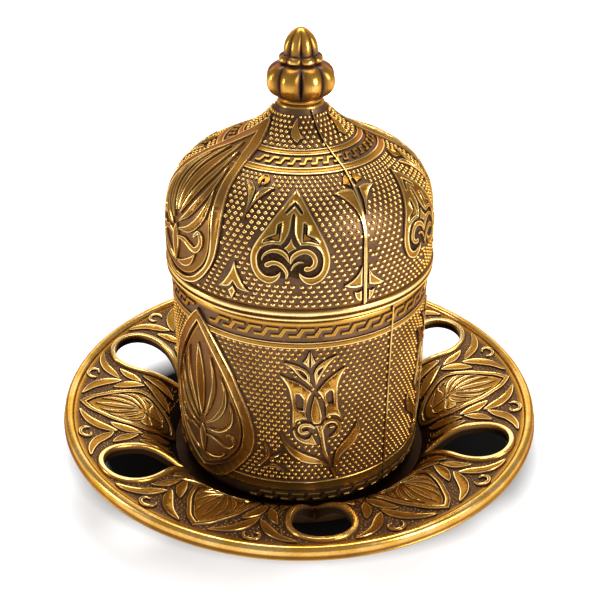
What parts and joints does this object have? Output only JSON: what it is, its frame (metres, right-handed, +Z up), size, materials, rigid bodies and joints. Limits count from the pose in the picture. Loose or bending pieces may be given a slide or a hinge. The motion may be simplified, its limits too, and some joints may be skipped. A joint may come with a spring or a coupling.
{
  "type": "covered coffee cup and saucer",
  "caption": "Cast brass coffee cup with a porcelain liner, a tall domed lid with a lobed finial, and a broad saucer pierced with teardrop openings.",
  "frame": {"origin": "centre of the saucer's foot ring, on the surface it stands on", "axes": "+Z up along the axis of the saucer, cup and lid; -Y towards the viewer of the picture; +X to the viewer's right"},
  "size_m": [0.125, 0.125, 0.1156],
  "materials": {
    "brass_saucer": "antique gold on raised edges over dark brown patina",
    "brass_holder": "antique gold on raised edges over dark brown patina",
    "brass_lid": "antique gold on raised edges over dark brown patina",
    "porcelain": "clear glaze over white body"
  },
  "bodies": {
    "saucer": {"saucer": "brass_saucer"},
    "cup_holder": {"cup_holder": "brass_holder"},
    "porcelain_cup": {"porcelain_cup": "porcelain"},
    "lid": {"lid": "brass_lid"}
  },
  "joints": [
    {"name": "holder_lift", "type": "slide", "parent": "saucer", "child": "cup_holder", "axis": [0, 0, 1], "range_m": [0, 0.04]},
    {"name": "porcelain_lift", "type": "slide", "parent": "cup_holder", "child": "porcelain_cup", "axis": [0, 0, 1], "range_m": [0, 0.062]},
    {"name": "lid_lift", "type": "slide", "parent": "porcelain_cup", "child": "lid", "axis": [0, 0, 1], "range_m": [0, 0.04]}
  ]
}
